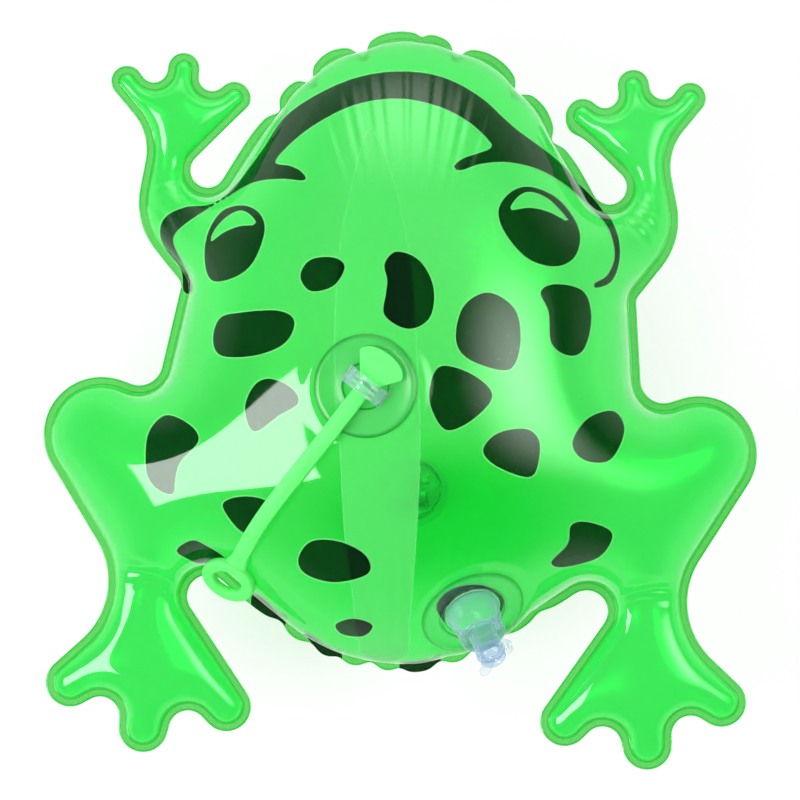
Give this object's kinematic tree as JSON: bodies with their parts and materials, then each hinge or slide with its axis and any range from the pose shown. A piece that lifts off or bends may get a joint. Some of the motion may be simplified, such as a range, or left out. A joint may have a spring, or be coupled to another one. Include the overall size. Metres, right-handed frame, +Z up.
{
  "type": "inflatable frog toy",
  "caption": "Inflatable see-through vinyl frog lying on its belly, with a welded rim, push-in air valve, sealed flashing light and a stretch strap with a finger ring.",
  "frame": {"origin": "under the middle of the frog's plan box, on the surface it lies on", "axes": "+Y towards the head, +Z up out of the back, +X towards the right hand seen from above with the head ahead"},
  "size_m": [0.2738, 0.2838, 0.1209],
  "materials": {
    "green_film": "glossy see-through green vinyl film with near-black printed spots",
    "clear_vinyl": "clear glossy soft vinyl, bluish at its edges",
    "milky_rubber": "milky pale green stretch rubber, satin",
    "circuit_board": "pale cream board, satin",
    "cell_steel": "bright nickelled steel",
    "lamp_lens": "pale yellow clear lens",
    "chip_epoxy": "olive epoxy drop"
  },
  "bodies": {
    "frog": {"top_panel": "green_film", "bottom_panel": "green_film", "strap_anchor": "clear_vinyl", "strap_tail": "milky_rubber", "elastic_strap": "milky_rubber", "valve_flange": "clear_vinyl", "light_pocket": "clear_vinyl", "light_board": "circuit_board", "button_cell_1": "cell_steel", "button_cell_2": "cell_steel", "button_cell_3": "cell_steel", "cell_contact_rear": "cell_steel", "cell_contact_front": "cell_steel", "led_1": "lamp_lens", "led_2": "lamp_lens", "flash_chip": "chip_epoxy", "shake_spring": "cell_steel", "shake_post": "cell_steel"},
    "ring": {"finger_ring": "milky_rubber"},
    "stem": {"valve_stem": "clear_vinyl", "plug_tether": "clear_vinyl"},
    "plug": {"valve_plug": "clear_vinyl"},
    "flap": {"valve_flap": "clear_vinyl"}
  },
  "joints": [
    {"name": "ring_pull", "type": "slide", "parent": "frog", "child": "ring", "axis": [-0.256, -0.256, 0.9321], "range_m": [0, 0.18], "stiffness_N_per_m": 15, "deforming": ["elastic_strap"]},
    {"name": "stem_push", "type": "slide", "parent": "frog", "child": "stem", "axis": [0.2892, -0.6359, 0.7155], "range_m": [-0.02, 0]},
    {"name": "plug_pull", "type": "slide", "parent": "stem", "child": "plug", "axis": [0.2892, -0.6359, 0.7155], "range_m": [0, 0.01], "deforming": ["plug_tether"]},
    {"name": "flap_swing", "type": "hinge", "parent": "stem", "child": "flap", "pos_m": [0.02788, -0.07129, 0.09095], "axis": [0.9512, 0.1072, -0.2892], "range_deg": [0, 40]}
  ]
}
